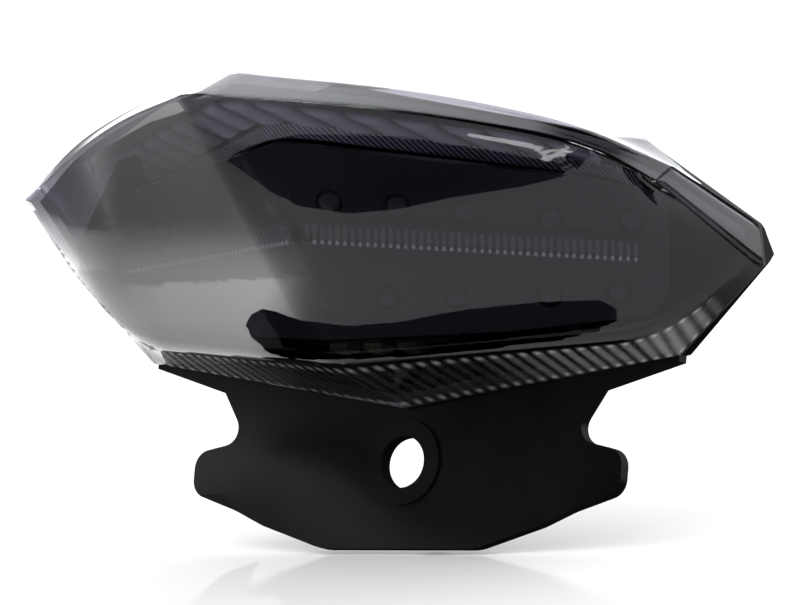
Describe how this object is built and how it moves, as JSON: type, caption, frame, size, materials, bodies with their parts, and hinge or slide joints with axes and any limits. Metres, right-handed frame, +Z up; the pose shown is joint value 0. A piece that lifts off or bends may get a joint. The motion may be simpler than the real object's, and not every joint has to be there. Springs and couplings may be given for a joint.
{
  "type": "motorcycle tail light",
  "caption": "Smoked-lens LED tail light with a V-bowed face, ribbed inner light strip, black housing with an eared mounting tongue, and a wired plug with a sliding lock.",
  "frame": {"origin": "centre of the tongue's bolt hole, on the tongue's front face", "axes": "+Z up as fitted, -Y the side the light shines to, +X to the right seen from the lit side; the tongue leans 20 degrees so the roof is level"},
  "size_m": [0.1918, 0.1219, 0.1189],
  "materials": {
    "smoked_lens": "high gloss smoke-tinted polycarbonate, see-through",
    "black_housing": "black ABS, fine satin texture",
    "charcoal_reflector": "charcoal reflector plastic",
    "clear_guide": "clear acrylic",
    "circuit_board": "solder-masked glass epoxy",
    "led_epoxy": "water-clear epoxy",
    "led_white": "white lamp with yellow phosphor",
    "ceramic_black": "coated ceramic chip",
    "zinc_screw": "zinc-plated steel",
    "brass_insert": "turned brass",
    "vent_plastic": "black nylon",
    "seal_rubber": "black elastomer",
    "seal_orange": "orange silicone",
    "cable_pvc": "black PVC jacket, satin",
    "wire_grey": "PVC insulation",
    "wire_black": "PVC insulation",
    "wire_yellow": "PVC insulation",
    "wire_red": "PVC insulation",
    "wire_orange": "PVC insulation",
    "wire_blue": "PVC insulation",
    "plug_plastic": "black nylon",
    "lock_plastic": "red nylon",
    "tinned_brass": "tin-plated brass"
  },
  "bodies": {
    "light": {"outer_lens": "smoked_lens", "lens_seal": "seal_rubber", "rear_housing": "black_housing", "reflector": "charcoal_reflector", "centre_light_strip": "clear_guide", "upper_light_guide": "clear_guide", "led_board_left": "circuit_board", "led_board_right": "circuit_board", "brake_leds": "led_epoxy", "tail_leds": "led_epoxy", "turn_leds_left": "led_epoxy", "turn_leds_right": "led_epoxy", "resistors_left": "ceramic_black", "resistors_right": "ceramic_black", "board_screws": "zinc_screw", "housing_screws": "zinc_screw", "screw_seals": "seal_rubber", "plate_light_board": "circuit_board", "plate_light_leds": "led_white", "plate_board_screws": "zinc_screw", "mounting_inserts": "brass_insert", "vent_cap": "vent_plastic", "cable_grommet": "seal_rubber", "cable_jacket": "cable_pvc", "link_wires": "wire_grey", "wire_ground": "wire_black", "wire_tail": "wire_yellow", "wire_brake": "wire_red", "wire_turn_left": "wire_orange", "wire_turn_right": "wire_blue", "plug_housing": "plug_plastic", "plug_terminals": "tinned_brass", "plug_wire_seals": "seal_orange"},
    "terminal_lock": {"plug_lock": "lock_plastic"}
  },
  "joints": [
    {"name": "terminal_lock_slide", "type": "slide", "parent": "light", "child": "terminal_lock", "axis": [0, 0.342, 0.9397], "range_m": [0, 0.0025]}
  ]
}
